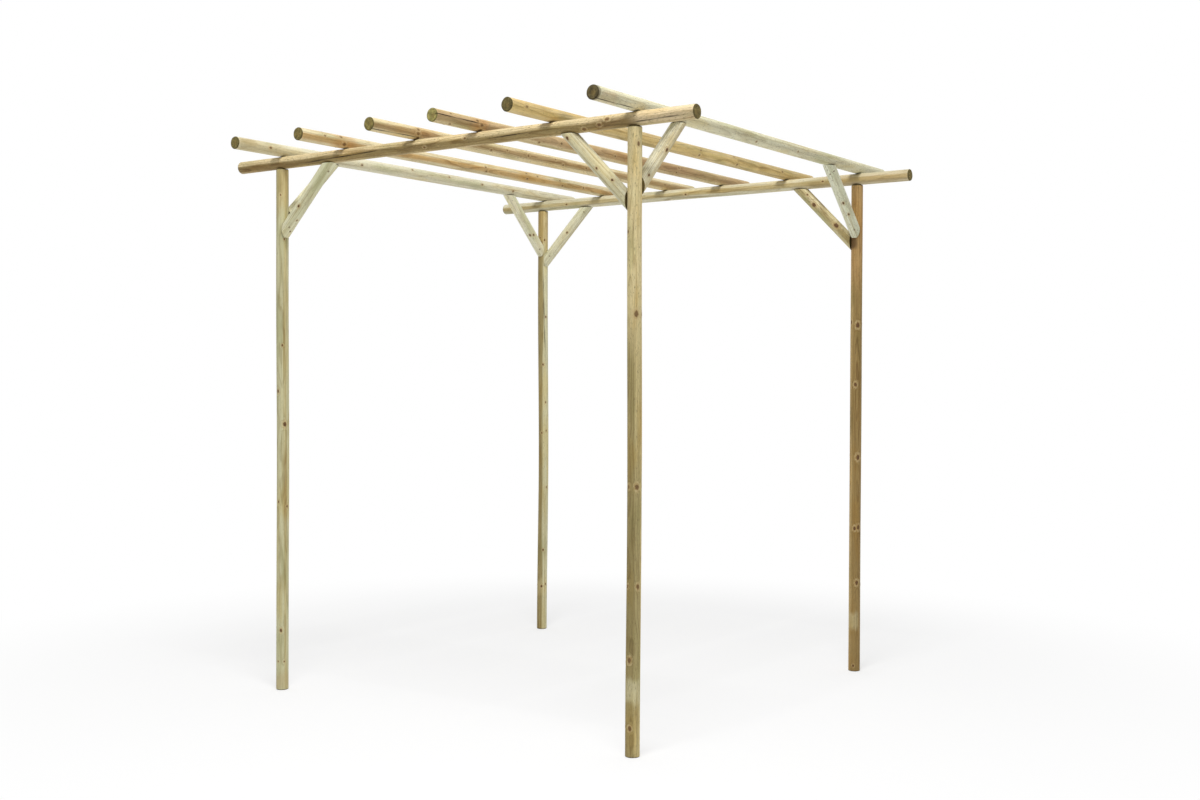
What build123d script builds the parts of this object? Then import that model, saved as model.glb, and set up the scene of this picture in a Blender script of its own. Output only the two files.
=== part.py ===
from build123d import *
import os

# Garden pergola of round poles: four posts carry two beams, six rafters cross the beams, and two
# braces stiffen each corner. The origin is on the floor in the middle of the posts, X runs along
# the beams, Y along the rafters, and the front is at -Y.

# Driving dimensions, in millimetres
pole_diameter = 60.0
post_spacing_x = 2040.0      # between post centres along the beams
post_spacing_y = 2040.0      # between post centres along the rafters
clear_height = 2500.0        # from the floor to the underside of the beams
beam_overhang = 290.0        # from a post's centre to the beam's end
rafter_overhang = 290.0      # from a beam's centre to the rafter's end
brace_leg = 290.0            # from the inside corner to the middle of either end of a brace
post_hollow_depth = 2.0      # scallop in the top of a post where a beam lies on it
rafter_hollow_depth = 2.0    # scallop under a rafter where it lies on a beam
brace_hollow_depth = 2.0     # hollow in the mitred end of a brace, to seat it on a round pole
end_chamfer = 4.0            # at the ends of beams and rafters
post_top_chamfer = 5.0       # round the top of a post
foot_chamfer = 3.0           # round the foot of a post
joint_clearance = 0.3        # between a hollow and the pole that it fits
cut_overrun = 20.0           # how far a cutter reaches past what it cuts

# Places of the rafters from left to right, set out by eye, as shares of half the post spacing
rafter_place_shares = (-1.0, -0.585, -0.155, 0.2, 0.59, 1.0)

# Sizes and places that follow from the driving dimensions
pole_radius = pole_diameter / 2
hollow_radius = pole_radius + joint_clearance
half_spacing_x = post_spacing_x / 2
half_spacing_y = post_spacing_y / 2
post_length = clear_height - joint_clearance + post_hollow_depth
beam_height = clear_height + pole_radius
beam_length = post_spacing_x + 2 * beam_overhang
rafter_height = beam_height + pole_diameter + joint_clearance - rafter_hollow_depth
rafter_underside = rafter_height - pole_radius
rafter_length = post_spacing_y + 2 * rafter_overhang

# Name of each corner, with the side that it is on along X and along Y
corners = (
    ("front_left", -1, -1),
    ("front_right", 1, -1),
    ("rear_left", -1, 1),
    ("rear_right", 1, 1),
)
rows = (("front", -1), ("rear", 1))
upward = Vector(0, 0, 1)


def write_piece(piece, name):
    """Label a finished piece and write it to a file of its own."""
    piece.label = name
    export_step(piece, f"parts/{name}.step")


def make_post(name, side_x, side_y):
    """An upright pole, chamfered at both ends, with a shallow scallop across its flat top for the beam."""
    place_x = side_x * half_spacing_x
    place_y = side_y * half_spacing_y
    with BuildPart() as post:
        with BuildSketch(Plane.XY):
            with Locations((place_x, place_y)):
                Circle(pole_radius)
        extrude(amount=post_length)
        chamfer(post.edges().group_by(Axis.Z)[0], length=foot_chamfer)
        chamfer(post.edges().group_by(Axis.Z)[-1], length=post_top_chamfer)
        with BuildSketch(Plane.YZ.offset(place_x)):
            with Locations((place_y, beam_height)):
                Circle(hollow_radius)
        extrude(amount=pole_radius + cut_overrun, both=True, mode=Mode.SUBTRACT)
    write_piece(post.part, name)


def make_beam(name, side_y):
    """A level pole along X, lying on the scalloped tops of two posts."""
    with BuildPart() as beam:
        with BuildSketch(Plane.YZ):
            with Locations((side_y * half_spacing_y, beam_height)):
                Circle(pole_radius)
        extrude(amount=beam_length / 2, both=True)
        end_faces = beam.faces().filter_by(Axis.X).sort_by(Axis.X)
        chamfer(end_faces.edges(), length=end_chamfer)
    write_piece(beam.part, name)


def make_rafter(name, place_x):
    """A level pole along Y, scalloped underneath where it lies on each beam."""
    with BuildPart() as rafter:
        with BuildSketch(Plane.XZ):
            with Locations((place_x, rafter_height)):
                Circle(pole_radius)
        extrude(amount=rafter_length / 2, both=True)
        end_faces = rafter.faces().filter_by(Axis.Y).sort_by(Axis.Y)
        chamfer(end_faces.edges(), length=end_chamfer)
        with BuildSketch(Plane.YZ.offset(place_x)):
            with Locations((-half_spacing_y, beam_height), (half_spacing_y, beam_height)):
                Circle(hollow_radius)
        extrude(amount=pole_radius + cut_overrun, both=True, mode=Mode.SUBTRACT)
    write_piece(rafter.part, name)


def make_brace(name, foot, inward):
    """A pole at 45 degrees from a post up to a beam or rafter, mitred and hollowed at both ends.

    foot is the middle of the lower end, on the side of the post, and inward is the level direction
    from there along the beam or rafter. Each end is mitred parallel to the pole that it meets, and
    the hollow seats it there, so a dark wedge stays open on both sides of the seat.
    """
    head = foot + (inward + upward) * brace_leg
    slope = (inward + upward).normalized()
    stock_reach = pole_diameter + brace_hollow_depth + cut_overrun
    stock_start = foot - slope * stock_reach
    stock_length = (head - foot).length + 2 * stock_reach
    post_cut_start = foot - inward * pole_radius - upward * (pole_diameter + cut_overrun)
    carrier_cut_start = foot + upward * (brace_leg + pole_radius)
    with BuildPart() as brace:
        with BuildSketch(Plane(origin=stock_start, z_dir=slope)):
            Circle(pole_radius)
        extrude(amount=stock_length)
        split(bisect_by=Plane(origin=foot - inward * brace_hollow_depth, z_dir=inward), keep=Keep.TOP)
        split(bisect_by=Plane(origin=head + upward * brace_hollow_depth, z_dir=-upward), keep=Keep.TOP)
        with BuildSketch(Plane(origin=post_cut_start, z_dir=upward)):
            Circle(hollow_radius)
        extrude(amount=2 * (pole_diameter + cut_overrun), mode=Mode.SUBTRACT)
        with BuildSketch(Plane(origin=carrier_cut_start, z_dir=inward)):
            Circle(hollow_radius)
        extrude(amount=brace_leg + pole_diameter + cut_overrun, mode=Mode.SUBTRACT)
    write_piece(brace.part, name)


os.makedirs("parts", exist_ok=True)

for corner, side_x, side_y in corners:
    make_post(f"post_{corner}", side_x, side_y)

for row, side_y in rows:
    make_beam(f"beam_{row}", side_y)

for number, place_share in enumerate(rafter_place_shares, start=1):
    make_rafter(f"rafter_{number}", place_share * half_spacing_x)

for corner, side_x, side_y in corners:
    beam_brace_foot = Vector(
        side_x * (half_spacing_x - pole_radius),
        side_y * half_spacing_y,
        clear_height - brace_leg,
    )
    make_brace(f"beam_brace_{corner}", beam_brace_foot, Vector(-side_x, 0, 0))
    rafter_brace_foot = Vector(
        side_x * half_spacing_x,
        side_y * (half_spacing_y - pole_radius),
        rafter_underside - brace_leg,
    )
    make_brace(f"rafter_brace_{corner}", rafter_brace_foot, Vector(0, -side_y, 0))
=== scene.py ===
"""Looks of an open garden pergola made of round, pressure-treated pine poles.

Every pole of the frame is replaced by a dense mesh with bows, knots, drying cracks and sawn ends,
and gets a solid wood material of its own: rings about a wandering pith, sapwood, heartwood and knots.
"""
import math
from dataclasses import dataclass, field

import bpy
import numpy as np
from mathutils import Matrix, Vector


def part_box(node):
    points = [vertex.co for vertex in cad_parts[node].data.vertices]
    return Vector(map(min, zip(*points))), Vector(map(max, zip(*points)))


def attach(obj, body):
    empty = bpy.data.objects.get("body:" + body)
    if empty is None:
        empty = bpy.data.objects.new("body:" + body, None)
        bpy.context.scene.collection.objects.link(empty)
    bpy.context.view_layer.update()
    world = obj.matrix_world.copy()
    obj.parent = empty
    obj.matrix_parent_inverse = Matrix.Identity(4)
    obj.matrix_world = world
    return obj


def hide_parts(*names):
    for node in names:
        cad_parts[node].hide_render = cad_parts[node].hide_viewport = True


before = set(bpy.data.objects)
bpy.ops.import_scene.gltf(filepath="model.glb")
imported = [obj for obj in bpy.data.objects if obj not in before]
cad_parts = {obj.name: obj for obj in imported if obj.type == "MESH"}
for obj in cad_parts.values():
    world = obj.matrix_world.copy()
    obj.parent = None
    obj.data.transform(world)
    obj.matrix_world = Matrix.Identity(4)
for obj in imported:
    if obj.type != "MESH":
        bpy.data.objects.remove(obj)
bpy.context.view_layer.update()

# Sizes and places from the frame, in metres
place_digits = 4
post_low, post_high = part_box("post_front_right")
beam_low, beam_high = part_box("beam_front")
rafter_low, rafter_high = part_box("rafter_6")
pole_radius = round((beam_high.z - beam_low.z) / 2, place_digits)
half_spacing_x = round((post_low.x + post_high.x) / 2, place_digits)
half_spacing_y = round(-(post_low.y + post_high.y) / 2, place_digits)
post_length = round(post_high.z, place_digits)
beam_height = round((beam_low.z + beam_high.z) / 2, place_digits)
beam_half_length = round(beam_high.x, place_digits)
rafter_height = round((rafter_low.z + rafter_high.z) / 2, place_digits)
rafter_half_length = round(rafter_high.y, place_digits)

# Sizes of the cuts, as the construction has them, in metres
joint_clearance = 0.0003
brace_leg = 0.290
brace_hollow_depth = 0.002
end_chamfer = 0.004
foot_chamfer = 0.003
post_top_chamfer = 0.005
sawn_edge = 0.0007
hollow_radius = pole_radius + joint_clearance
brace_length = brace_leg * math.sqrt(2)

# Density of the pole meshes
columns_around = 60
least_gap_columns = 4        # between one crack and the next
row_spacing = 0.008
least_rows = 8
seat_rows = 13
seat_row_reach = 0.42        # to either side of a seat, as a share of the pole's radius
bevel_rings = 2
bevel_ring_along = 0.3       # place of a bevel's second ring along the pole, as a share of the bevel
bevel_ring_drop = 0.4        # and toward the axis
cap_ring_shares = (0.1, 0.24, 0.4, 0.56, 0.72, 0.87)
sharp_angle = math.radians(38)
tiny = 1e-6

# Surface of the poles: lengths in metres, waves along a pole in radians per metre
surface_inset = 0.0007       # room for bumps inside the true size
outer_skin = 0.00005         # least room that a bump leaves
girth_waves = (2, 3, 4, 5)
girth_wave_height = 0.00022
length_waves = (1.5, 6)
any_phase = (0, 6.3)
any_turn = (0, 2 * math.pi)
flat_count = 3
flat_places = (0.1, 0.9)
flat_lengths = (0.15, 0.4)
flat_depths = (0.0006, 0.0014)
least_cosine = 0.5           # keeps the sum for a flat sound on the far side of the pole
end_relief = 0.0003          # roughness of the sawn ends

# Knots grow in whorls; distances from the middle of a knot are in radii of the knot
mark_unit = 1000             # marks are sized in mm
knots_in_whorl = 5
whorl_spacing = 0.05         # marks closer than this along the pole share a whorl
hidden_from = math.radians(85)
knot_angle_play = 0.25
knot_place_play = 0.015
knot_size_play = (0.7, 1.1)
knot_length_share = 0.7      # a knot is longer along the pole by the inverse of this
swelling_height = 0.0007
swelling_fall = 1.2
moat_depth = 0.00035
moat_place = 1.7
moat_width = 0.5

# Drying cracks
crack_profile = ((-1, 0), (-0.45, 0.75), (0, 1), (0.45, 0.75), (1, 0))   # place across, share of depth
crack_waves = (9, 23, 61)
crack_bend = 0.25
crack_fade_in = 0.2          # shares of the length over which the two ends close
crack_fade_out = 0.35
crack_play = 0.25            # how much the opening varies
crack_play_wave = 37
crack_root = 0.3             # nearest that a crack comes to the axis, as a share of the radius
narrowest_crack = 0.00012
crack_stain = 0.55           # how dark the wood is beside a crack
crack_stain_width = 0.0026

# First seeds of the random draws
knot_seed = 100
crack_seed = 300
surface_seed = 500
end_seed = 700
check_seed = 900

# Screws: columns round the head, and rings as (radius, height, whether it has the lobes of the recess)
screw_columns = 36
lobe_count = 6
lobe_depth = 0.17
screw_sharp_angle = math.radians(30)
screw_profile = (
    (0.0020, -0.0040, False), (0.0043, -0.0025, False), (0.0043, -0.0002, False), (0.0040, 0.0003, False),
    (0.0031, 0.0006, False), (0.0021, 0.0006, True), (0.0019, -0.0009, True), (0.0010, -0.0009, True),
)

# Light and floor
lamp_side = 2.6
lamp_power = 600.0
lamp_place = (2.0, -3.2, 9.0)
world_level = 0.97
front_dimming = (-0.8, 0.6, -0.58)    # over the direction toward the camera
zenith_dimming = (0.3, 1.0, -0.3)     # over the height
floor_half = 40.0
floor_drop = 0.0005
floor_fade = (1.6, 4.0)      # distances between which the floor fades into the surroundings
floor_near_white = 0.6
floor_tone = (0.9, 0.9, 0.9, 1)
full_white = (1, 1, 1, 1)

# The camera of the photograph, in metres and degrees
camera_place = Vector((4.1363, -5.6287, 1.5076))
camera_yaw = -35.449
camera_pitch = -0.917
camera_roll = -0.218
camera_lens = 42.08
sensor_width = 36.0

along_x = Vector((1, 0, 0))
along_y = Vector((0, 1, 0))
up = Vector((0, 0, 1))
rafter_count = 6
corners = (
    ("front_left", -1, -1),
    ("front_right", 1, -1),
    ("rear_left", -1, 1),
    ("rear_right", 1, 1),
)


@dataclass
class Knot:
    """A knot, with its place along and around the pole and its radius in metres."""
    along: float
    angle: float
    radius: float


@dataclass
class Crack:
    """A drying crack. Places are shares of the pole's length and of its width as the camera sees it."""
    start: float
    end: float
    across_start: float
    across_end: float
    width: float = 0.0014
    depth: float = 0.006


@dataclass
class Zone:
    """A patch of another tone, between two shares of the length and over part of the girth.

    soft is half the length in metres over which its ends fade.
    """
    start: float
    end: float
    across: float
    half_angle: float
    colour: tuple
    strength: float
    soft: float = 0.018


@dataclass
class Look:
    """How one pole looks.

    heart_and_painted_light_band is the middle and half the width of the heartwood that shows, as shares
    of half the pole's width; the paler sapwood shows outside it, which on the beams and rafters lies on
    the top and bottom edges as painted light for the top and for the bounce from below, with painted
    shade in the darker middle. pith is the place across of the pith and its distance off the axis. Marks
    are given as (share of the length, place across, size in mm) and screws as (share of the length, place
    across).
    bow is the place across toward which the pole bows, how far, and the shares of the length between
    which it does. knots, specks and late say how plainly knots, flecks and rings show, and cut is the
    tone of the sawn ends.
    """
    slot: str
    sap: tuple
    heart: tuple
    pith: tuple
    heart_and_painted_light_band: tuple = (0.0, 0.4)
    marks: tuple = ()
    screws: tuple = ()
    cracks: tuple = ()
    zones: tuple = ()
    bow: tuple = (0.0, 0.0, 0.0, 1.0)
    specks: float = 0.35
    late: float = 0.42
    knots: float = 1.0
    cut: tuple = (118, 105, 63)
    seed: int = 0


@dataclass
class Pole:
    """One pole of the frame: where it lies, how it is cut and how it looks."""
    name: str
    matrix: Matrix
    length: float
    start_cut: object
    end_cut: object
    bevels: tuple
    look: Look
    seats: tuple = ()
    knots: list = field(default_factory=list)


# Tones of treated pine, as 8-bit values
brown_streak = (122, 96, 58)
pale_band = (206, 200, 162)
yellow_band = (220, 208, 160)
red_stain = (160, 114, 66)
orange_stain = (186, 132, 70)
grey_mark = (158, 150, 120)
dark_end = (92, 76, 50)

knot_core = (122, 88, 52)
knot_rim = (74, 53, 33)
knot_halo = (172, 138, 86)
knot_swirl = (216, 200, 152)
# painted shade inside cracks and end checks, and the dark stain on the lips of a crack
crack_shade_tone = (50, 38, 26)
speck_tone = (106, 92, 62)
# painted shade in joints, creases and hollows
crease_shade_tone = (58, 44, 28)

# Noises: grains per metre each way, what is added to the seed, detail and roughness
noise_offset = (7.3, 3.9, 5.7)
side_noises = {
    "fibre": ((620, 620, 13), 0, 3.0, 0.6),
    "streak": ((85, 85, 1.3), 11, 3.0, 0.6),
    "line": ((230, 230, 2.4), 17, 2.0, 0.55),
    "blotch": ((20, 20, 6), 23, 3.0, 0.55),
    "speck": ((240, 240, 70), 47, 2.0, 0.65),
    "figure": ((12, 12, 1.8), 53, 2.0, 0.5),
    "tint": ((15, 15, 3.2), 67, 2.0, 0.55),
    "wave": ((26, 26, 1.6), 30, 2.0, 0.5),
}
end_noises = {
    "pores": ((900, 900, 300), 0, 2.0, 0.6),
    "blotch": ((70, 70, 70), 5, 3.0, 0.6),
    "saw": ((30, 480, 30), 9, 1.0, 0.5),
    "wave": side_noises["wave"],
}

# Tones that multiply the wood's own: noise, where its soft step starts and is full, strength, tone
side_tints = (
    ("tint", 0.5, 0.7, 0.5, (206, 212, 186)),
    ("tint", 0.48, 0.3, 0.45, (250, 232, 182)),
    ("streak", 0.54, 0.72, 0.55, (198, 178, 132)),
    ("line", 0.6, 0.7, 0.35, (150, 120, 78)),
    ("blotch", 0.52, 0.75, 0.4, (202, 184, 140)),
)
late_tone = (158, 132, 84)
core_tone = (146, 122, 70)
coat_tone = (98, 76, 48)
worn_tone = (136, 112, 74)

# Sizes in the materials, in metres
ring_width = 0.0031
pith_wander = 0.018
ring_wave = 0.007
knot_ring_bend = 0.006
side_bump = 0.0007
end_bump = 0.0006
# reach of the painted shade in joints and hollows
crease_shade_reach = 0.03
check_count = 3
check_wander = 0.004

looks = {
    "post_front_left": Look(
        slot="pale_pine", sap=(197, 193, 154), heart=(187, 174, 126), heart_and_painted_light_band=(0.5, 0.16),
        pith=(0.1, 0.006), bow=(1.0, 0.003, 0.0, 0.84), late=0.3, specks=0.2,
        marks=((0.662, 0.0, 4.0), (0.574, -0.73, 6.5), (0.511, 0.36, 7.5), (0.353, 0.71, 4.5),
               (0.362, -0.68, 4.5), (0.115, -0.23, 5.5), (0.055, 0.3, 3.0), (0.055, -0.65, 3.0),
               (0.865, 0.3, 3.5), (0.949, -0.3, 3.0)),
        zones=(Zone(0.32, 0.46, 0.37, 5, (146, 122, 72), 0.6, 0.08),
               Zone(0.69, 0.81, 0.4, 5, (160, 138, 86), 0.5, 0.08),
               Zone(0.93, 1.02, 0.0, 180, (196, 170, 108), 0.5, 0.1),
               Zone(0.0, 0.03, 0.0, 180, (180, 156, 110), 0.45, 0.04)),
    ),
    "post_front_right": Look(
        slot="olive_pine", sap=(196, 181, 130), heart=(156, 141, 94), heart_and_painted_light_band=(-0.6, 0.85),
        pith=(-0.5, 0.008), bow=(1.0, 0.004, 0.0, 0.84), late=0.3, specks=0.5, knots=0.8,
        marks=((0.971, 0.49, 6.0), (0.703, 0.29, 9.0), (0.43, 0.44, 7.5), (0.43, -0.74, 6.0),
               (0.272, 0.62, 6.5), (0.272, -0.81, 5.5), (0.833, -0.9, 5.5), (0.155, -0.51, 7.5),
               (0.047, -0.4, 6.5)),
        zones=(Zone(0.1, 0.46, 0.0, 180, (128, 115, 72), 0.5, 0.22),
               Zone(0.68, 1.2, 0.0, 180, (224, 208, 158), 0.9, 0.25),
               Zone(0.087, 0.122, 0.2, 85, pale_band, 0.6),
               Zone(-0.05, 1.05, 1.0, 18, (226, 205, 140), 0.6, 0.05),
               Zone(0.88, 0.915, -0.2, 60, yellow_band, 0.5)),
    ),
    "post_rear_left": Look(
        slot="brown_pine", sap=(213, 209, 172), heart=(156, 141, 95), heart_and_painted_light_band=(-0.75, 0.78),
        pith=(-0.75, 0.012), bow=(1.0, 0.007, 0.0, 0.84), specks=0.3,
        marks=((0.93, 0.3, 4.5), (0.925, -0.2, 3.0), (0.935, -0.5, 3.0), (0.747, 0.6, 4.5),
               (0.633, 0.07, 5.0), (0.543, 0.57, 4.0), (0.475, 0.7, 4.5), (0.47, -0.15, 5.0),
               (0.34, 0.78, 4.5), (0.19, 0.2, 4.5), (0.103, -0.12, 5.5), (0.108, 0.7, 4.0)),
        cracks=(Crack(0.62, 0.88, 0.45, 0.08, 0.0015, 0.007),),
        zones=(Zone(0.085, 0.12, -0.2, 60, yellow_band, 0.3),
               Zone(0.92, 1.02, 0.0, 180, (198, 168, 106), 0.5, 0.08)),
    ),
    "post_rear_right": Look(
        slot="brown_pine", sap=(182, 158, 108), heart=(150, 125, 76), heart_and_painted_light_band=(0.15, 0.8),
        pith=(0.5, 0.012), specks=0.5, late=0.5,
        marks=((0.712, 0.25, 9.0), (0.718, -0.85, 6.0), (0.59, -0.09, 7.0), (0.441, 0.42, 9.0),
               (0.297, 0.57, 8.0), (0.295, -0.09, 6.5), (0.183, 0.35, 7.5), (0.012, -0.16, 4.5)),
        zones=(Zone(0.085, 0.12, -0.3, 50, pale_band, 0.45),
               Zone(0.8, 1.1, 0.1, 120, (194, 158, 104), 0.65, 0.12),
               # painted shade where the foot of the beam brace meets the post
               Zone(0.868, 0.9, -0.6, 35, (84, 62, 36), 0.75, 0.012)),
    ),
    "beam_front": Look(
        slot="tan_pine", sap=(213, 195, 152), heart=(155, 135, 88), heart_and_painted_light_band=(0.3, 0.55),
        pith=(0.35, 0.009), specks=0.8, late=0.5, knots=0.75,
        marks=((0.845, -0.5, 7.0), (0.83, 0.17, 6.0), (0.47, 0.3, 4.5), (0.8, 0.55, 6.5),
               (0.56, -0.3, 4.5)),
        cracks=(Crack(0.125, 0.41, 0.58, -0.28, 0.0030, 0.010),
                Crack(0.6, 0.72, 0.22, -0.12, 0.0024, 0.008),
                Crack(0.885, 0.99, 0.4, 0.2, 0.0016, 0.006)),
        zones=(Zone(0.0, 0.14, 0.6, 35, brown_streak, 0.4, 0.06),
               Zone(0.82, 0.9, 0.3, 45, brown_streak, 0.55, 0.04),
               Zone(0.895, 1.02, 0.0, 150, (222, 203, 166), 0.7, 0.05)),
    ),
    "beam_rear": Look(
        slot="pale_pine", sap=(213, 207, 178), heart=(192, 177, 131), heart_and_painted_light_band=(-0.05, 0.4),
        pith=(0.4, 0.007),
        marks=((0.185, 0.0, 4.5), (0.5, 0.05, 4.5), (0.82, -0.2, 4.5), (0.34, 0.4, 3.5)),
        zones=(Zone(0.78, 1.02, 0.0, 60, (176, 144, 92), 0.45, 0.12),),
    ),
    "rafter_1": Look(
        slot="pale_pine", sap=(221, 216, 189), heart=(218, 211, 180),
        pith=(-0.3, 0.007), late=0.22, knots=0.8, cut=(112, 102, 60),
        marks=((0.073, -0.19, 5.5), (0.303, 0.03, 4.5), (0.446, -0.67, 4.5), (0.557, -0.56, 4.5),
               (0.662, -0.24, 4.5), (0.767, -0.03, 5.0)),
        zones=(Zone(0.0, 0.11, 0.2, 70, (188, 170, 120), 0.55, 0.06),),
    ),
    "rafter_2": Look(
        slot="tan_pine", sap=(219, 206, 168), heart=(203, 170, 115), heart_and_painted_light_band=(0.1, 0.42),
        pith=(0.2, 0.008), knots=0.7, cut=(118, 106, 63),
        marks=((0.053, -0.49, 4.5), (0.092, -0.75, 6.0), (0.1, 0.3, 7.5), (0.482, -0.37, 4.5),
               (0.485, 0.32, 4.5), (0.615, 0.25, 5.0), (0.612, -0.68, 4.5), (0.648, -0.52, 4.5),
               (0.725, -0.52, 4.5), (0.735, 0.32, 5.0), (0.809, -0.06, 4.5)),
        zones=(Zone(0.075, 0.125, 0.0, 80, orange_stain, 0.4, 0.03),
               Zone(0.58, 0.68, -0.2, 70, (206, 164, 90), 0.4, 0.06)),
    ),
    "rafter_3": Look(
        slot="tan_pine", sap=(223, 207, 164), heart=(178, 151, 106), heart_and_painted_light_band=(-0.15, 0.42),
        pith=(-0.4, 0.011), specks=0.5, knots=0.65, cut=(128, 117, 67),
        marks=((0.108, -0.69, 6.0), (0.107, -0.09, 7.0), (0.11, 0.58, 6.0), (0.299, 0.13, 5.0),
               (0.344, -0.39, 4.5), (0.406, -0.24, 5.0), (0.49, -0.54, 4.5), (0.514, 0.13, 4.5),
               (0.589, -0.16, 5.0), (0.874, -0.16, 4.5)),
        cracks=(Crack(0.0, 0.17, 0.62, 0.45, 0.0018, 0.007),),
        zones=(Zone(0.1, 0.155, 0.0, 70, red_stain, 0.3, 0.03),),
    ),
    "rafter_4": Look(
        slot="tan_pine", sap=(211, 194, 151), heart=(191, 164, 122), heart_and_painted_light_band=(-0.2, 0.6),
        pith=(-0.2, 0.008), specks=0.5, knots=0.7, cut=(152, 143, 85),
        marks=((0.035, -0.79, 5.0), (0.037, 0.74, 5.0), (0.099, -0.64, 6.0), (0.109, -0.14, 6.5),
               (0.111, 0.64, 7.0), (0.265, 0.5, 5.0), (0.325, -0.14, 5.0), (0.49, -0.07, 4.5),
               (0.712, -0.57, 5.0), (0.705, 0.36, 5.0)),
        cracks=(Crack(0.0, 0.135, -0.4, -0.3, 0.0028, 0.010),),
        zones=(Zone(0.092, 0.128, 0.0, 80, orange_stain, 0.45, 0.025),
               Zone(0.5, 0.8, -0.3, 60, (160, 118, 74), 0.3, 0.12)),
    ),
    "rafter_5": Look(
        slot="olive_pine", sap=(208, 187, 136), heart=(219, 193, 130),
        pith=(0.3, 0.007), knots=0.7, cut=(100, 90, 54),
        marks=((0.036, -0.35, 5.0), (0.543, 0.35, 5.0), (0.546, -0.49, 4.5), (0.669, -0.83, 4.5),
               (0.681, 0.35, 5.0), (0.859, -0.42, 5.0)),
        zones=(Zone(0.115, 0.155, 0.2, 90, grey_mark, 0.35, 0.03),),
    ),
    "rafter_6": Look(
        slot="olive_pine", sap=(219, 215, 184), heart=(214, 209, 178), heart_and_painted_light_band=(0.3, 0.4),
        pith=(0.2, 0.007), late=0.2, specks=0.6, knots=0.7, cut=(90, 80, 52),
        marks=((0.2, 0.3, 4.0), (0.47, 0.4, 4.5), (0.62, 0.1, 4.0)),
        cracks=(Crack(0.0, 0.12, 0.62, 0.5, 0.0016, 0.006),),
        zones=(Zone(0.0, 0.006, 0.0, 180, dark_end, 0.7),
               Zone(0.01, 0.05, 0.3, 50, (206, 170, 132), 0.3)),
    ),
    "beam_brace_front_left": Look(
        slot="pale_pine", sap=(221, 219, 186), heart=(213, 210, 172),
        pith=(0.1, 0.005), late=0.22, specks=0.25,
        marks=((0.375, -0.45, 5.5), (0.2, 0.6, 3.5)),
        screws=((0.078, 0.15), (0.03, 0.65), (0.94, 0.55)),
    ),
    "beam_brace_front_right": Look(
        slot="pale_pine", sap=(203, 199, 170), heart=(208, 201, 163), heart_and_painted_light_band=(-0.4, 0.4),
        pith=(-0.5, 0.006), late=0.3, specks=0.4,
        marks=((0.47, -0.35, 4.5), (0.25, 0.2, 4.5), (0.955, -0.65, 6.0)),
    ),
    "beam_brace_rear_left": Look(
        slot="pale_pine", sap=(224, 221, 191), heart=(221, 217, 185), heart_and_painted_light_band=(0.2, 0.4),
        pith=(0.2, 0.006), late=0.3,
        marks=((0.55, -0.1, 4.5),), screws=((0.1, 0.0), (0.95, 0.1)),
    ),
    "beam_brace_rear_right": Look(
        slot="brown_pine", sap=(206, 196, 154), heart=(170, 156, 112), heart_and_painted_light_band=(-0.2, 0.45),
        pith=(0.3, 0.007), specks=0.6,
        marks=((0.28, 0.1, 10.0), (0.695, -0.2, 9.0), (0.86, 0.2, 4.5)),
        zones=(Zone(0.58, 0.95, 0.95, 24, (100, 76, 46), 0.7, 0.03),
               Zone(0.62, 0.86, 0.2, 25, (224, 214, 180), 0.5, 0.03)),
    ),
    "rafter_brace_front_left": Look(
        slot="pale_pine", sap=(221, 219, 186), heart=(213, 210, 172), heart_and_painted_light_band=(0.4, 0.4),
        pith=(0.4, 0.005), late=0.22,
        marks=((0.4, 0.2, 4.0), (0.75, -0.3, 4.0)),
    ),
    "rafter_brace_front_right": Look(
        slot="pale_pine", sap=(228, 224, 196), heart=(216, 204, 164), heart_and_painted_light_band=(0.8, 0.4),
        pith=(0.7, 0.008), late=0.4, specks=0.5,
        marks=((0.555, 0.6, 7.0), (0.13, 0.35, 4.0)),
    ),
    "rafter_brace_rear_left": Look(
        slot="pale_pine", sap=(233, 230, 202), heart=(226, 220, 188), heart_and_painted_light_band=(0.2, 0.4),
        pith=(0.2, 0.006), late=0.3, specks=0.5,
        marks=((0.325, -0.3, 5.0), (0.3, 0.4, 5.0)), screws=((0.05, 0.0),),
    ),
    "rafter_brace_rear_right": Look(
        slot="pale_pine", sap=(223, 225, 201), heart=(216, 217, 189), heart_and_painted_light_band=(0.3, 0.4),
        pith=(0.3, 0.007), late=0.22, specks=0.65,
        marks=((0.478, -0.1, 5.0), (0.296, 0.1, 4.5)), screws=((0.05, 0.0), (0.95, 0.4), (0.93, -0.4)),
    ),
}
for number, look in enumerate(looks.values(), start=1):
    look.seed = number


def linear(colour):
    """A linear colour with full alpha from three 8-bit values."""
    parts = [value / 255 for value in colour]
    return *(part / 12.92 if part <= 0.04045 else ((part + 0.055) / 1.055) ** 2.4 for part in parts), 1.0


def smooth(value, low, high):
    """A soft step from 0 at low to 1 at high."""
    share = np.clip((value - low) / (high - low), 0, 1)
    return share * share * (3 - 2 * share)


def wrapped(angle):
    """An angle brought to within half a turn of zero."""
    return (angle + math.pi) % (2 * math.pi) - math.pi


def round_place(angle, radius=1.0, along=0.0):
    """A place at an angle round the axis of a pole and at a distance from it."""
    return radius * math.cos(angle), radius * math.sin(angle), along


def add_object(name, data):
    """An object for a mesh, a lamp or a camera, linked to the scene."""
    item = bpy.data.objects.new(name, data)
    bpy.context.scene.collection.objects.link(item)
    return item


# Poles of the frame

def pole_matrix(start, along, upward):
    """Places a pole: Z runs along it from its start, and Y points as nearly upward as it can."""
    z_axis = along.normalized()
    x_axis = upward.cross(z_axis).normalized()
    y_axis = z_axis.cross(x_axis)
    matrix = Matrix((x_axis, y_axis, z_axis)).transposed().to_4x4()
    matrix.translation = start
    return matrix


def flat_cut(height):
    """A square end at a height along the pole."""
    return lambda x, y: np.full_like(x, height)


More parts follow.
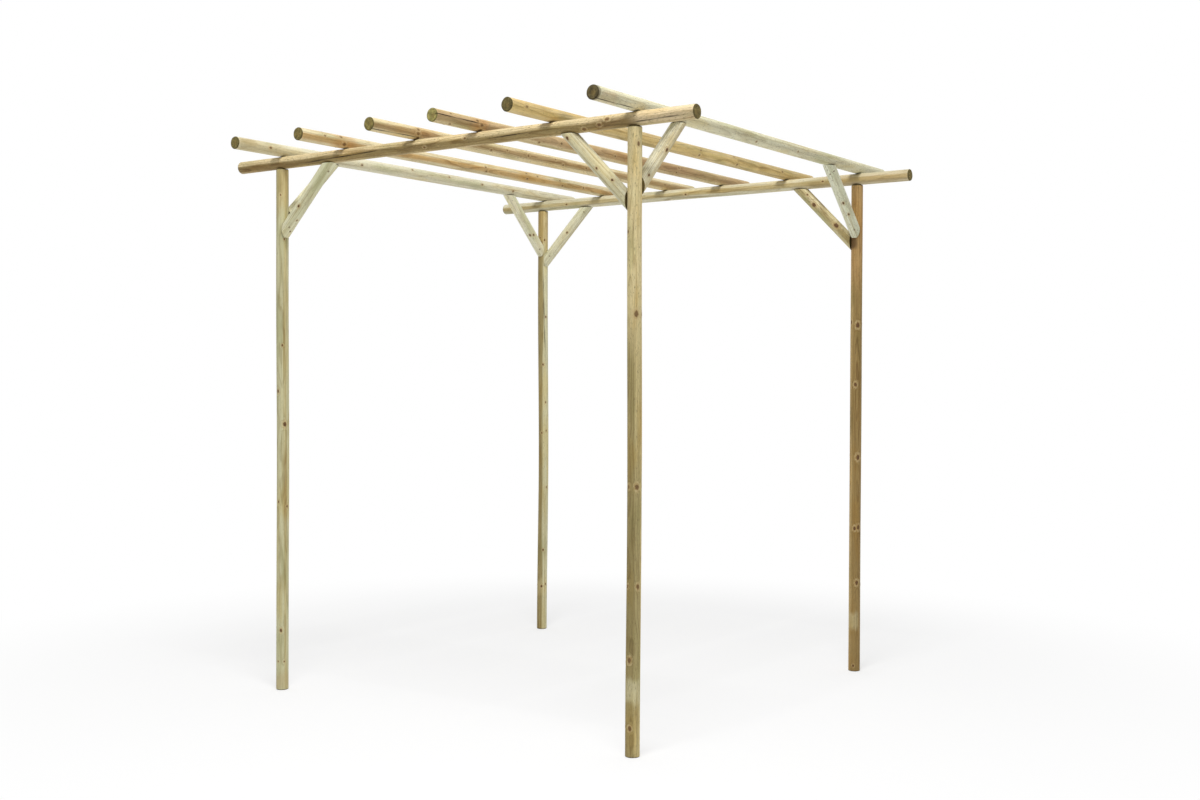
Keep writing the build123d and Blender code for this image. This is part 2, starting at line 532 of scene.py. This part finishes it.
def hollow_height(offset):
    """Height of a hollow's round side over its middle line, at an offset from that line."""
    return np.sqrt(hollow_radius**2 - np.minimum(np.abs(offset), pole_radius) ** 2)


def post_top_cut(x, y):
    """The flat top of a post, with a shallow scallop across it where the beam lies."""
    return np.minimum(post_length, beam_height - hollow_height(y))


def brace_gap(x):
    """How far along a brace its end stands back from a flat mitre, x off the brace's middle plane."""
    return math.sqrt(2) * np.maximum(hollow_height(x) - pole_radius, -brace_hollow_depth)


def brace_foot_cut(x, y):
    """The lower end of a brace: mitred along the post and hollowed to seat on it."""
    return y + brace_gap(x)


def brace_head_cut(x, y):
    """The upper end of a brace: mitred along the beam or rafter and hollowed to seat on it."""
    return brace_length - y - brace_gap(x)


def list_poles():
    """Every pole of the frame, with its place and its cuts."""
    poles = []

    def add(name, matrix, length, cuts, bevels, seats=()):
        poles.append(Pole(name, matrix, length, *cuts, bevels, looks[name], seats))

    for corner, side_x, side_y in corners:
        foot = Vector((side_x * half_spacing_x, side_y * half_spacing_y, 0))
        add("post_" + corner, pole_matrix(foot, up, along_y), post_length,
            (flat_cut(0.0), post_top_cut), (foot_chamfer, post_top_chamfer))
    for row, side_y in (("front", -1), ("rear", 1)):
        start = Vector((-beam_half_length, side_y * half_spacing_y, beam_height))
        length = 2 * beam_half_length
        add("beam_" + row, pole_matrix(start, along_x, up), length,
            (flat_cut(0.0), flat_cut(length)), (end_chamfer, end_chamfer))
    for number in range(1, rafter_count + 1):
        name = f"rafter_{number}"
        low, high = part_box(name)
        start = Vector((round((low.x + high.x) / 2, place_digits), -rafter_half_length, rafter_height))
        length = 2 * rafter_half_length
        seats = (rafter_half_length - half_spacing_y, rafter_half_length + half_spacing_y)
        add(name, pole_matrix(start, along_y, up), length,
            (flat_cut(0.0), flat_cut(length)), (end_chamfer, end_chamfer), seats)
    for corner, side_x, side_y in corners:
        beam_foot = Vector((side_x * (half_spacing_x - pole_radius), side_y * half_spacing_y,
                            beam_height - pole_radius - brace_leg))
        rafter_foot = Vector((side_x * half_spacing_x, side_y * (half_spacing_y - pole_radius),
                              rafter_height - pole_radius - brace_leg))
        for kind, foot, inward in (("beam", beam_foot, -side_x * along_x),
                                   ("rafter", rafter_foot, -side_y * along_y)):
            add(f"{kind}_brace_{corner}", pole_matrix(foot, inward + up, up), brace_length,
                (brace_foot_cut, brace_head_cut), (sawn_edge, sawn_edge))
    return poles


def seen_angle(pole, share, across):
    """The angle round a pole of a mark, from its place across the pole as the camera sees it.

    across is 0 on the side that faces the camera and 1 at the edge to the right, looking along the pole.
    """
    point = pole.matrix @ Vector((0, 0, share * pole.length))
    view = pole.matrix.to_3x3().transposed() @ (camera_place - point)
    return math.atan2(view.y, view.x) + math.asin(max(-1.0, min(1.0, across)))


def grow_knots(pole):
    """Knots that the photograph shows, and the others of the same whorls round the far side."""
    rng = np.random.default_rng(knot_seed + pole.look.seed)
    knots = []
    whorls = []
    for share, across, size in pole.look.marks:
        along = share * pole.length
        first = seen_angle(pole, share, across)
        knots.append(Knot(along, first, size / mark_unit))
        if any(abs(along - other) < whorl_spacing for other in whorls):
            continue
        whorls.append(along)
        facing = seen_angle(pole, share, 0)
        for turn in range(1, knots_in_whorl):
            angle = first + turn * 2 * math.pi / knots_in_whorl
            angle += rng.uniform(-knot_angle_play, knot_angle_play)
            place = along + rng.uniform(-knot_place_play, knot_place_play)
            radius = size / mark_unit * rng.uniform(*knot_size_play)
            if abs(wrapped(angle - facing)) > hidden_from:
                knots.append(Knot(place, angle, radius))
    return knots


# Pole meshes

def crack_paths(pole, rows):
    """Every crack of a pole: its angle, half its width as an angle, depth and opening on each row."""
    cracks = []
    for number, crack in enumerate(pole.look.cracks):
        rng = np.random.default_rng(crack_seed + 10 * pole.look.seed + number)
        share = (rows / pole.length - crack.start) / (crack.end - crack.start)
        first = seen_angle(pole, crack.start, crack.across_start)
        last = seen_angle(pole, crack.end, crack.across_end)
        path = first + wrapped(last - first) * np.clip(share, 0, 1)
        for wave in crack_waves:
            path = path + crack_bend / wave * np.sin(wave * rows + rng.uniform(*any_phase))
        opening = np.ones_like(rows)
        if crack.start > 0:
            opening = opening * smooth(share, 0, crack_fade_in)
        if crack.end < 1:
            opening = opening * smooth(1 - share, 0, crack_fade_out)
        opening = opening * (1 - crack_play + crack_play * np.sin(rows * crack_play_wave + number))
        half_angle = np.maximum(opening * crack.width / 2, narrowest_crack) / pole_radius
        cracks.append((path, half_angle, opening * crack.depth, opening))
    return cracks


def crack_columns(pole, rows):
    """Angles of the mesh columns on every row, how deep each lies in a crack, and the stain there.

    Five columns follow each crack: its two lips, its two walls and its root. The others are spread
    evenly over what is left of the girth.
    """
    cracks = crack_paths(pole, rows)
    if not cracks:
        angles = np.tile(np.linspace(*any_turn, columns_around, endpoint=False), (len(rows), 1))
        return angles, np.zeros_like(angles), np.zeros_like(angles)
    middle = len(rows) // 2
    cracks.sort(key=lambda item: item[0][middle] % (2 * math.pi))
    base = cracks[0][0][middle]
    paths = [path - path[middle] + base + (path[middle] - base) % (2 * math.pi) for path, *_ in cracks]
    angles, depths = [], []
    for number, (path, (_, half_angle, depth, _)) in enumerate(zip(paths, cracks)):
        for side, sunk in crack_profile:
            angles.append(path + side * half_angle)
            depths.append(sunk * depth)
        following = (number + 1) % len(cracks)
        lip = paths[following] + (2 * math.pi if following == 0 else 0) - cracks[following][1]
        start = path + half_angle
        count = max(least_gap_columns, round(columns_around * np.mean(lip - start) / (2 * math.pi)))
        for step in range(1, count + 1):
            angles.append(start + (lip - start) * step / (count + 1))
            depths.append(np.zeros_like(rows))
    angles, depths = np.stack(angles, axis=1), np.stack(depths, axis=1)
    stain = np.zeros_like(angles)
    for path, (_, _, _, opening) in zip(paths, cracks):
        gap = np.abs(wrapped(angles - path[:, None])) * pole_radius
        fade = np.exp(-((gap / crack_stain_width) ** 2))
        stain = np.maximum(stain, crack_stain * opening[:, None] * fade)
    return angles, depths, stain


def surface_radius(pole, angles, along):
    """Radius of the pole's surface: slightly out of round, with flats and swollen knots."""
    rng = np.random.default_rng(surface_seed + pole.look.seed)
    radius = np.full(angles.shape, pole_radius - surface_inset)
    for turns in girth_waves:
        phase, drift, wave = rng.uniform(*any_phase), rng.uniform(*any_phase), rng.uniform(*length_waves)
        radius += girth_wave_height * np.cos(turns * angles + phase) * np.cos(wave * along + drift)
    for _ in range(flat_count):
        centre, length = rng.uniform(*flat_places) * pole.length, rng.uniform(*flat_lengths)
        facing, cut = rng.uniform(*any_turn), rng.uniform(*flat_depths)
        fade = np.exp(-((along - centre) / length) ** 2)
        turned = np.maximum(np.cos(angles - facing), least_cosine)
        radius = np.minimum(radius, (pole_radius - surface_inset - cut * fade) / turned)
    x, y = pole_radius * np.cos(angles), pole_radius * np.sin(angles)
    for knot in pole.knots:
        knot_x, knot_y, _ = round_place(knot.angle, pole_radius)
        gap_z = (along - knot.along) * knot_length_share
        share = np.sqrt((x - knot_x) ** 2 + (y - knot_y) ** 2 + gap_z**2) / knot.radius
        radius += swelling_height * np.exp(-swelling_fall * share**2)
        radius -= moat_depth * np.exp(-((share - moat_place) / moat_width) ** 2)
    return np.minimum(radius, pole_radius - outer_skin)


def pole_rings(pole):
    """Every ring of points of a pole, from end to end, and how deep each point lies in a crack."""
    start_bevel, end_bevel = pole.bevels
    span = pole.length - start_bevel - end_bevel
    rows = np.linspace(0, span, max(least_rows, round(span / row_spacing)))
    for seat in pole.seats:
        near = seat - start_bevel + np.linspace(-1, 1, seat_rows) * pole_radius * seat_row_reach
        rows = np.concatenate([rows, near])
    rows = np.unique(np.round(rows, 5))
    shares = np.concatenate([[0, 0], rows / span, [1, 1]])
    whole = np.ones(len(rows))
    start_step = np.concatenate([[0, bevel_ring_along], whole, [1, 1]]) * start_bevel
    end_step = np.concatenate([[1, 1], whole, [bevel_ring_along, 0]]) * end_bevel
    drop = np.zeros(len(shares))
    drop[:2] = start_bevel, bevel_ring_drop * start_bevel
    drop[-2:] = bevel_ring_drop * end_bevel, end_bevel
    level = start_step + shares * span
    angles, depths, stain = crack_columns(pole, level)
    radius = surface_radius(pole, angles, level[:, None]) - drop[:, None]
    x, y = np.cos(angles) * radius, np.sin(angles) * radius
    low, high = pole.start_cut(x, y), pole.end_cut(x, y)
    low += start_step[:, None]
    z = low + shares[:, None] * (high - end_step[:, None] - low)
    groove_radius = np.maximum(radius - depths, crack_root * pole_radius)
    side = np.stack([np.cos(angles) * groove_radius, np.sin(angles) * groove_radius, z], axis=2)
    groove = np.maximum(depths / max(depths.max(), tiny), stain)
    caps, cap_grooves = [], []
    rng = np.random.default_rng(end_seed + pole.look.seed)
    for row, cut, sign in ((0, pole.start_cut, -1), (-1, pole.end_cut, 1)):
        cap = []
        for share in cap_ring_shares:
            ring = side[row] * share
            relief = end_relief * rng.uniform(-1, 0, len(ring))
            ring[:, 2] = cut(ring[:, 0], ring[:, 1]) + sign * relief
            cap.append(ring)
        caps.append(np.array(cap))
        cap_grooves.append(np.array(cap_ring_shares)[:, None] ** 2 * groove[row])
    points = np.concatenate([caps[0], side, caps[1][::-1]])
    sunk = np.concatenate([cap_grooves[0], groove, cap_grooves[1][::-1]])
    return points, sunk


def shape_pole(pole, points):
    """Bows the pole and seats it on the beams that it crosses."""
    across, amount, start, end = pole.look.bow
    share = np.clip((points[:, :, 2] / pole.length - start) / (end - start), 0, 1)
    facing = seen_angle(pole, (start + end) / 2, across)
    bow = amount * np.sin(math.pi * share) ** 2
    points[:, :, 0] += bow * math.cos(facing)
    points[:, :, 1] += bow * math.sin(facing)
    for seat in pole.seats:
        gap = np.minimum(np.abs(points[:, :, 2] - seat), hollow_radius)
        beam_top = beam_height - rafter_height + np.sqrt(hollow_radius**2 - gap**2)
        points[:, :, 1] = np.maximum(points[:, :, 1], beam_top)


def ring_faces(ring_count, columns):
    """Faces of a closed mesh through rings of points, which the middles of its two ends follow."""
    count = ring_count * columns
    last = count - columns
    pairs = [(column, (column + 1) % columns) for column in range(columns)]
    faces = [(ring + here, ring + there, ring + columns + there, ring + columns + here)
             for ring in range(0, last, columns) for here, there in pairs]
    faces += [(count, there, here) for here, there in pairs]
    faces += [(count + 1, last + here, last + there) for here, there in pairs]
    return faces


def smooth_mesh(name, points, faces, sharpest):
    """A mesh that is smooth apart from edges sharper than an angle."""
    mesh = bpy.data.meshes.new(name)
    mesh.from_pydata(points, [], faces)
    mesh.validate()
    mesh.polygons.foreach_set("use_smooth", np.ones(len(faces), bool))
    mesh.set_sharp_from_angle(angle=sharpest)
    return mesh


def pole_mesh(name, points, sunk):
    """The mesh of a pole; its bevels and ends take the second material."""
    ring_count, columns = points.shape[:2]
    middles = [points[0].mean(axis=0), points[-1].mean(axis=0)]
    mesh = smooth_mesh(name, np.concatenate([points.reshape(-1, 3), middles]),
                       ring_faces(ring_count, columns), sharp_angle)
    end_rings = len(cap_ring_shares) + bevel_rings
    slots = np.zeros(ring_count - 1, np.int32)
    slots[:end_rings] = 1
    slots[-end_rings:] = 1
    slots = np.concatenate([np.repeat(slots, columns), np.ones(2 * columns, np.int32)])
    mesh.polygons.foreach_set("material_index", slots)
    groove = mesh.attributes.new("groove", "FLOAT", "POINT")
    groove.data.foreach_set("value", np.concatenate([sunk.ravel(), [0, 0]]).astype(np.float32))
    return mesh


# Materials

class Graph:
    """Adds nodes to a node tree; a value is a number, a colour, a vector or another node's output."""

    def __init__(self, tree):
        self.tree = tree
        tree.nodes.clear()

    def put(self, socket, value):
        if isinstance(value, bpy.types.NodeSocket):
            self.tree.links.new(value, socket)
        else:
            socket.default_value = value

    def add(self, kind, inputs=None, **settings):
        node = self.tree.nodes.new("ShaderNode" + kind)
        for key, value in settings.items():
            setattr(node, key, value)
        for key, value in (inputs or {}).items():
            self.put(node.inputs[key], value)
        return node

    def math(self, operation, *values):
        return self.add("Math", dict(enumerate(values)), operation=operation).outputs[0]

    def vector(self, operation, *values):
        node = self.add("VectorMath", dict(enumerate(values)), operation=operation)
        scalar = operation in ("LENGTH", "DISTANCE", "DOT_PRODUCT")
        return node.outputs["Value" if scalar else "Vector"]

    def times(self, first, second):
        return self.math("MULTIPLY", first, second)

    def plus(self, first, second):
        return self.math("ADD", first, second)

    def scaled(self, value, factor, extra):
        return self.math("MULTIPLY_ADD", value, factor, extra)

    def centred(self, value, reach):
        """A value between 0 and 1, brought to within half of reach of zero."""
        return self.scaled(value, reach, -reach / 2)

    def noise(self, stretch, seed, detail=2.0, roughness=0.5):
        """Noise whose grains are 1 / stretch long each way, shifted so that no two poles match."""
        place = self.vector("MULTIPLY", self.place, stretch)
        place = self.vector("ADD", place, tuple(seed * part for part in noise_offset))
        inputs = {"Vector": place, "Scale": 1.0, "Detail": detail, "Roughness": roughness}
        return self.add("TexNoise", inputs).outputs

    def noises(self, table, seed):
        """Every noise of a table, by its name."""
        return {name: self.noise(stretch, seed + shift, detail, roughness)["Fac"]
                for name, (stretch, shift, detail, roughness) in table.items()}

    def step(self, value, low, high):
        """A soft step from 0 at low to 1 at high, which may be the lower of the two."""
        node = self.add("MapRange", {"Value": value, "From Min": low, "From Max": high},
                        interpolation_type="SMOOTHSTEP")
        return node.outputs["Result"]

    def share(self, value, low, high, strength):
        """A soft step from 0 at low to a strength at high."""
        return self.times(self.step(value, low, high), strength)

    def mix(self, share, first, second, blend="MIX"):
        """A mix of two colours, which may be tones in 8-bit values."""
        first, second = (linear(item) if isinstance(item, tuple) else item for item in (first, second))
        node = self.add("Mix", {0: share, 6: first, 7: second}, data_type="RGBA", blend_type=blend)
        return node.outputs[2]

    def shaded(self, colour, level):
        """A colour times a level."""
        grey = self.add("CombineColor", {0: level, 1: level, 2: level}).outputs[0]
        return self.mix(1.0, colour, grey, "MULTIPLY")

    def bump(self, height, distance):
        return self.add("Bump", {"Strength": 0.5, "Distance": distance, "Height": height}).outputs[0]

    def surface(self, inputs):
        """Ends a material with a principled shader."""
        shader = self.add("BsdfPrincipled", inputs)
        self.add("OutputMaterial", {"Surface": shader.outputs[0]}).is_active_output = True


def new_material(name):
    """A material and its graph, which keeps the place of the point to shade on its object."""
    material = bpy.data.materials.new(name)
    material.use_nodes = True
    graph = Graph(material.node_tree)
    graph.place = graph.add("TexCoord").outputs["Object"]
    return material, graph


def pith_place(pole):
    """Where the pith lies on average."""
    across, off_axis = pole.look.pith
    return round_place(seen_angle(pole, 0.5, across), off_axis)


def ring_field(graph, pole, wave):
    """Distance from a pith that wanders along the pole, in waves."""
    wander = graph.noise((0, 0, 2.2), pole.look.seed)["Color"]
    wander = graph.vector("MULTIPLY_ADD", wander, (pith_wander, pith_wander, 0),
                          (-pith_wander / 2, -pith_wander / 2, 0))
    centred = graph.vector("SUBTRACT", graph.vector("SUBTRACT", graph.place, pith_place(pole)), wander)
    depth = graph.vector("LENGTH", graph.vector("MULTIPLY", centred, (1, 1, 0)))
    return graph.plus(depth, graph.centred(wave, ring_wave))


def latewood(graph, depth):
    """The dark late part of each year's ring, with its sharp outer edge."""
    ring = graph.math("FRACT", graph.math("DIVIDE", depth, ring_width))
    return graph.times(graph.step(ring, 0.45, 0.88), graph.step(ring, 1.0, 0.9))


def knot_distance(graph, knots):
    """Distance to the nearest knot, in radii of that knot, with ragged outlines."""
    squeezed = graph.vector("MULTIPLY", graph.place, (1, 1, knot_length_share))
    nearest = None
    for knot in knots:
        centre = round_place(knot.angle, pole_radius, knot.along * knot_length_share)
        gap = graph.math("DIVIDE", graph.vector("DISTANCE", squeezed, centre), knot.radius)
        nearest = gap if nearest is None else graph.math("MINIMUM", nearest, gap)
    ragged = graph.noise((150, 150, 110), 3)["Fac"]
    return graph.plus(nearest, graph.centred(ragged, 1.0))


def facing_share(graph, pole, share, across):
    """Cosine of the angle round the pole between a point and a place across it as the camera sees it."""
    toward = round_place(seen_angle(pole, share, across), 1 / pole_radius)
    return graph.vector("DOT_PRODUCT", graph.place, toward)


def zone_share(graph, pole, zone, ragged):
    """How strongly a zone covers a point, with ragged edges."""
    soft = min(zone.soft, 0.3 * (zone.end - zone.start) * pole.length)
    along = graph.add("SeparateXYZ", {0: graph.place}).outputs["Z"]
    along = graph.plus(along, graph.centred(ragged, 5 * min(soft, Zone.soft)))
    start, end = zone.start * pole.length, zone.end * pole.length
    share = graph.share(along, start - soft, start + soft, graph.step(along, end + soft, end - soft))
    if zone.half_angle < 180:
        half = math.radians(zone.half_angle)
        toward = facing_share(graph, pole, (zone.start + zone.end) / 2, zone.across)
        reach = math.cos(min(1.5 * half + 0.15, math.pi))
        toward = graph.plus(toward, graph.centred(ragged, 0.4 * (1 - reach)))
        share = graph.times(share, graph.step(toward, reach, math.cos(half / 2)))
    return graph.times(share, graph.times(zone.strength, graph.plus(ragged, 0.5)))


def darkened(graph, colour):
    """A colour with painted shade in its cracks and a dark stain beside them, and with painted shade
    where two poles meet and in other close hollows.
    """
    groove = graph.add("Attribute", attribute_name="groove").outputs["Fac"]
    # Painted shade in the grooves of the cracks, and a dark stain on their lips
    colour = graph.mix(graph.step(groove, 0.0, 0.6), colour, crack_shade_tone)
    # Painted shade: the wood darkens where ambient occlusion finds other surfaces close by, in joints,
    # creases and hollows.
    open_share = graph.add("AmbientOcclusion", {"Distance": crease_shade_reach}, samples=8).outputs["AO"]
    return graph.mix(graph.share(open_share, 0.42, 0.1, 0.8), colour, crease_shade_tone)


def wood_material(pole):
    """The round side of a pole: sapwood and heartwood in rings, knots, stains, fibres and cracks; where
    sapwood and heartwood lie paints part of the light and shade, and cracks and joints get painted shade.
    """
    look = pole.look
    material, graph = new_material("pine_" + pole.name)
    noises = graph.noises(side_noises, look.seed)
    fibre, speck, figure = noises["fibre"], noises["speck"], noises["figure"]
    near = knot_distance(graph, pole.knots)
    bend = graph.share(near, 3.4, 0.6, knot_ring_bend)
    late = latewood(graph, graph.plus(ring_field(graph, pole, noises["wave"]), bend))

    # Heartwood where the side faces toward or away from the camera, sapwood toward the edges that it
    # sees: on the beams and rafters the pale edges are the top and the bottom, painted light standing in
    # for part of the top light and the bounce from below, and the darker middle is painted shade.
    across = facing_share(graph, pole, 0.5, 1.0)
    wobble = graph.plus(graph.centred(figure, 0.7), graph.centred(noises["streak"], 0.5))
    middle, half = look.heart_and_painted_light_band
    off_middle = graph.math("ABSOLUTE", graph.math("SUBTRACT", graph.plus(across, wobble), middle))
    heart_or_painted_shade = graph.step(off_middle, half + 0.2, half - 0.2)
    colour = graph.mix(heart_or_painted_shade, look.sap, look.heart)
    for zone in look.zones:
        covered = zone_share(graph, pole, zone, noises["blotch"])
        colour = graph.mix(covered, colour, zone.colour)

    for name, low, high, strength, tone in side_tints:
        colour = graph.mix(graph.share(noises[name], low, high, strength), colour, tone, "MULTIPLY")
    figured = graph.scaled(graph.step(figure, 0.35, 0.62), 0.75, 0.35)
    late_share = graph.times(late, graph.times(figured, look.late))
    colour = graph.mix(late_share, colour, late_tone, "MULTIPLY")
    colour = graph.shaded(colour, graph.scaled(fibre, 0.5, 0.82))
    colour = graph.mix(graph.share(speck, 0.58, 0.7, look.specks), colour, speck_tone)
    pale_flecks = graph.scaled(graph.step(speck, 0.45, 0.3), 0.3 * look.specks, 1.0)
    colour = graph.shaded(colour, pale_flecks)

    halo = graph.share(near, 2.7, 0.9, 0.5)
    colour = graph.mix(halo, colour, knot_halo)
    swirl = graph.times(graph.step(near, 2.4, 1.8), graph.step(near, 1.1, 1.5))
    swirl = graph.times(swirl, graph.share(speck, 0.4, 0.6, 0.5))
    colour = graph.mix(swirl, colour, knot_swirl)
    inside = graph.share(near, 1.15, 0.8, look.knots)
    turn = graph.scaled(graph.math("SINE", graph.times(near, 17.0)), 0.5, 0.5)
    colour = graph.mix(inside, colour, graph.mix(turn, knot_core, knot_rim))
    colour = darkened(graph, colour)

    height = graph.scaled(late, 0.5, graph.times(fibre, 0.9))
    height = graph.plus(height, graph.times(speck, look.specks))
    rough = graph.scaled(fibre, 0.22, 0.58)
    graph.surface({"Base Color": colour, "Roughness": rough, "Specular IOR Level": 0.3,
                   "Normal": graph.bump(height, side_bump)})
    return material


def end_grain_material(pole):
    """The sawn end of a pole: dark, thirsty end grain with rings, saw marks and radial checks."""
    look = pole.look
    material, graph = new_material("end_grain_" + pole.name)
    noises = graph.noises(end_noises, look.seed)
    blotch, pores = noises["blotch"], noises["pores"]
    depth = ring_field(graph, pole, noises["wave"])
    late = latewood(graph, depth)

    pale_cut = tuple(min(255, value * 1.36) for value in look.cut)
    dark_cut = tuple(value * 0.62 for value in look.cut)
    colour = graph.mix(graph.step(blotch, 0.38, 0.66), look.cut, pale_cut)
    colour = graph.mix(graph.times(late, 0.85), colour, dark_cut)
    core = graph.share(depth, 0.015, 0.006, 0.4)
    colour = graph.mix(core, colour, core_tone)
    across = graph.vector("MULTIPLY", graph.place, (1 / pole_radius, 1 / pole_radius, 0))
    off_axis = graph.plus(graph.vector("LENGTH", across), graph.centred(blotch, 0.3))
    rim = graph.share(off_axis, 0.78, 0.98, 0.75)
    colour = graph.mix(rim, colour, dark_cut)
    colour = graph.shaded(colour, graph.scaled(pores, 0.6, 0.7))
    from_pith = graph.vector("SUBTRACT", graph.place, pith_place(pole))
    rng = np.random.default_rng(check_seed + look.seed)
    # Radial checks painted as dark lines on the flat end, in the shade that a real check holds.
    for turn in rng.uniform(*any_turn, check_count):
        outward = graph.vector("DOT_PRODUCT", from_pith, round_place(turn))
        aside = graph.vector("DOT_PRODUCT", from_pith, (-math.sin(turn), math.cos(turn), 0))
        aside = graph.plus(aside, graph.centred(blotch, check_wander))
        begun = graph.step(outward, 0.001, 0.004)
        check = graph.share(graph.math("ABSOLUTE", aside), 0.0008, 0.0002, begun)
        colour = graph.mix(graph.times(check, 0.85), colour, crack_shade_tone)
    colour = darkened(graph, colour)

    height = graph.scaled(noises["saw"], 0.6, graph.times(late, 0.5))
    rough = graph.scaled(pores, 0.2, 0.7)
    graph.surface({"Base Color": colour, "Roughness": rough, "Specular IOR Level": 0.2,
                   "Normal": graph.bump(height, end_bump)})
    return material


def screw_material():
    """Steel with a dull bronze coating."""
    material, graph = new_material("coated_steel")
    worn = graph.noise((900, 900, 900), 1, 3.0)["Fac"]
    colour = graph.mix(graph.step(worn, 0.4, 0.7), coat_tone, worn_tone)
    rough = graph.scaled(worn, 0.3, 0.3)
    graph.surface({"Base Color": colour, "Roughness": rough, "Metallic": 0.7})
    return material


# Pieces

def screw_points():
    """A low screw head with a six-lobed recess: rings of points about the Z axis, and two middles."""
    turn = np.linspace(*any_turn, screw_columns, endpoint=False)
    lobes = 1 + lobe_depth * np.cos(lobe_count * turn)
    points = []
    for radius, height, lobed in screw_profile:
        reach = radius * (lobes if lobed else np.ones_like(turn))
        points += zip(reach * np.cos(turn), reach * np.sin(turn), np.full_like(turn, height))
    return points + [(0, 0, screw_profile[end][1]) for end in (0, -1)]


def build_screws(poles):
    """Every screw that shows in the braces, joined into one piece."""
    head = screw_points()
    head_faces = ring_faces(len(screw_profile), screw_columns)
    points, faces = [], []
    for pole in poles:
        for share, across in pole.look.screws:
            outward = Vector(round_place(seen_angle(pole, share, across)))
            base = outward * (pole_radius - surface_inset) + up * (share * pole.length)
            matrix = pole.matrix @ pole_matrix(base, outward, up)
            faces += [tuple(len(points) + corner for corner in face) for face in head_faces]
            points += [matrix @ Vector(point) for point in head]
    mesh = smooth_mesh("brace_screws", points, faces, screw_sharp_angle)
    mesh.materials.append(screw_material())
    piece = add_object("brace_screws", mesh)
    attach(piece, "root")


def build_pole(pole):
    """One pole as a finished piece on the frame."""
    pole.knots = grow_knots(pole)
    points, sunk = pole_rings(pole)
    shape_pole(pole, points)
    mesh = pole_mesh("pole_" + pole.name, points, sunk)
    mesh.materials.append(wood_material(pole))
    mesh.materials.append(end_grain_material(pole))
    piece = add_object("pole_" + pole.name, mesh)
    piece.matrix_world = pole.matrix
    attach(piece, "root")
    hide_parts(pole.name)


# Stage, light and camera

def make_floor():
    """A wide pale floor that fades into the white surroundings and keeps the object's shadow."""
    mesh = bpy.data.meshes.new("floor")
    sides = ((-1, -1), (1, -1), (1, 1), (-1, 1))
    points = [(x * floor_half, y * floor_half, -floor_drop) for x, y in sides]
    mesh.from_pydata(points, [], [(0, 1, 2, 3)])
    floor = add_object("floor", mesh)
    material, graph = new_material("floor_white")
    far = graph.step(graph.vector("LENGTH", graph.place), *floor_fade)
    far = graph.scaled(far, 1 - floor_near_white, floor_near_white)
    white = graph.times(seen_white(graph), far)
    matt = graph.add("BsdfDiffuse", {"Color": floor_tone})
    glow = graph.add("Emission", {"Color": full_white, "Strength": 1.0})
    blend = graph.add("MixShader", {0: white, 1: matt.outputs[0], 2: glow.outputs[0]})
    graph.add("OutputMaterial", {"Surface": blend.outputs[0]})
    mesh.materials.append(material)


def seen_white(graph):
    """1 for rays that should meet a plain white background, and 0 for light that falls on the object."""
    path = graph.add("LightPath").outputs
    mirrored = graph.math("MAXIMUM", path["Is Glossy Ray"], path["Is Transmission Ray"])
    return graph.math("MAXIMUM", path["Is Camera Ray"], mirrored)


def make_world():
    """White surroundings that light the object, dimmer overhead and on the photographer's side."""
    world = bpy.data.worlds.new("studio")
    world.use_nodes = True
    bpy.context.scene.world = world
    graph = Graph(world.node_tree)
    toward = graph.add("TexCoord").outputs["Generated"]
    dim_side = camera_place.xy.normalized()
    front = graph.vector("DOT_PRODUCT", toward, (dim_side.x, dim_side.y, 0))
    height = graph.add("SeparateXYZ", {0: toward}).outputs["Z"]
    level = graph.plus(graph.share(front, *front_dimming), world_level)
    level = graph.plus(level, graph.share(height, *zenith_dimming))
    white = seen_white(graph)
    strength = graph.plus(white, graph.times(level, graph.math("SUBTRACT", 1.0, white)))
    background = graph.add("Background", {"Color": full_white, "Strength": strength})
    graph.add("OutputWorld", {"Surface": background.outputs[0]})


def make_lamp():
    """A large soft lamp overhead."""
    lamp = bpy.data.lights.new("overhead", "AREA")
    lamp.shape = "RECTANGLE"
    lamp.size = lamp_side
    lamp.size_y = lamp_side
    lamp.energy = lamp_power
    lamp_object = add_object("overhead", lamp)
    lamp_object.location = lamp_place
    lamp_object.visible_camera = False


def make_camera():
    """The camera of the photograph."""
    yaw, pitch, roll = (math.radians(angle) for angle in (camera_yaw, camera_pitch, camera_roll))
    forward = Vector((math.sin(yaw) * math.cos(pitch), math.cos(yaw) * math.cos(pitch), math.sin(pitch)))
    level_right = Vector((math.cos(yaw), -math.sin(yaw), 0))
    level_down = forward.cross(level_right)
    right = level_right * math.cos(roll) + level_down * math.sin(roll)
    down = level_down * math.cos(roll) - level_right * math.sin(roll)
    camera = bpy.data.cameras.new("photo_camera")
    camera.lens = camera_lens
    camera.sensor_width = sensor_width
    camera.sensor_fit = "HORIZONTAL"
    matrix = Matrix((right, -down, -forward)).transposed().to_4x4()
    matrix.translation = camera_place
    camera_object = add_object("photo_camera", camera)
    camera_object.matrix_world = matrix
    bpy.context.scene.camera = camera_object


poles = list_poles()
for pole in poles:
    build_pole(pole)
build_screws(poles)
make_floor()
make_world()
make_lamp()
make_camera()
bpy.context.scene.view_settings.view_transform = "Standard"
